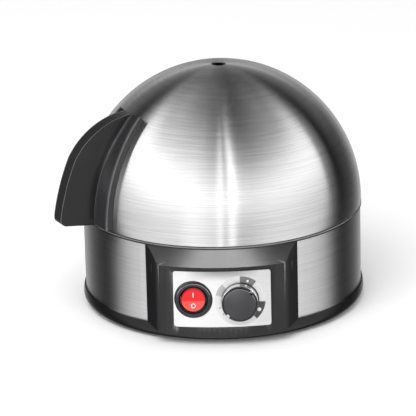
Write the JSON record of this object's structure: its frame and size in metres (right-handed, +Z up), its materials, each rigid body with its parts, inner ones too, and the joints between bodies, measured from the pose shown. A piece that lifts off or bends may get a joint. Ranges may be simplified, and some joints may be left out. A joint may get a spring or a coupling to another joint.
{
  "type": "electric egg cooker",
  "caption": "Round countertop egg cooker: a lift-off steel dome with a side handle over a rack and a heated water plate, with a rocker switch and a turning dial on the base.",
  "frame": {"origin": "on the axis of the round base, in the plane that the four feet stand on", "axes": "+Z up along the base's axis; the control panel faces -Y; +X is to the right of someone who looks at the panel"},
  "size_m": [0.195, 0.1946, 0.1549],
  "materials": {
    "brushed_dome": "satin stainless sheet brushed round the axis",
    "brushed_band": "satin stainless strip brushed round the axis",
    "panel_satin": "fine satin sheet with printed marks",
    "black_moulding": "satin black moulded plastic",
    "rack_plastic": "matte black moulded plastic",
    "foot_rubber": "black rubber",
    "bush_rubber": "soft black rubber",
    "screw_steel": "zinc plated steel",
    "plate_steel": "satin stainless dish",
    "silicone": "pale silicone",
    "element_steel": "dull heat-tinted tube",
    "plated_steel": "plated steel",
    "phenolic": "brown moulded resin",
    "fuse_sleeve": "woven pale sleeve",
    "bezel_black": "glossy black plastic",
    "rocker_red": "translucent red plastic",
    "knob_black": "satin graphite plastic",
    "bright_sleeve": "bright plated sleeve",
    "control_metal": "stamped steel",
    "spindle_plastic": "pale moulded plastic",
    "board_green": "glass-fibre board",
    "relay_black": "black moulded case",
    "capacitor_yellow": "yellow moulded case",
    "terminal_pale": "pale translucent plastic"
  },
  "bodies": {
    "base": {"base_housing": "black_moulding", "steel_band": "brushed_band", "bottom_tray": "black_moulding", "rubber_feet": "foot_rubber", "tray_screws": "screw_steel", "cord_bush": "bush_rubber", "heating_plate": "plate_steel", "plate_gasket": "silicone", "heating_element": "element_steel", "element_tabs": "plated_steel", "plate_stud": "plated_steel", "stud_spacer": "plated_steel", "stud_nuts": "plated_steel", "clamp_bridge": "plated_steel", "thermal_cutout": "phenolic", "cutout_clip": "plated_steel", "thermal_fuse": "fuse_sleeve", "fuse_clip": "plated_steel", "fascia": "black_moulding", "panel_plate": "panel_satin", "switch_housing": "bezel_black", "switch_terminals": "plated_steel", "rotary_control": "control_metal", "control_board": "board_green", "board_screws": "screw_steel", "relay": "relay_black", "capacitor": "capacitor_yellow", "buzzer": "relay_black", "terminal_block": "terminal_pale"},
    "lid": {"lid_dome": "brushed_dome", "lid_handle": "black_moulding", "handle_washers": "screw_steel", "handle_screws": "screw_steel"},
    "rack": {"egg_rack": "rack_plastic"},
    "rocker": {"switch_rocker": "rocker_red"},
    "dial": {"knob": "knob_black", "knob_sleeve": "bright_sleeve", "control_spindle": "spindle_plastic"}
  },
  "joints": [
    {"name": "lid_lift", "type": "slide", "parent": "base", "child": "lid", "axis": [0, 0, 1], "range_m": [0, 0.12]},
    {"name": "rack_lift", "type": "slide", "parent": "base", "child": "rack", "axis": [0, 0, 1], "range_m": [0, 0.02]},
    {"name": "rocker_tilt", "type": "hinge", "parent": "base", "child": "rocker", "pos_m": [-0.0178, -0.09081, 0.03], "axis": [1, 0, 0], "range_deg": [0, 20]},
    {"name": "knob_turn", "type": "hinge", "parent": "base", "child": "dial", "pos_m": [0.011, -0.09336, 0.0294], "axis": [0, -0.9969, 0.0785], "range_deg": [-90, 180]}
  ]
}
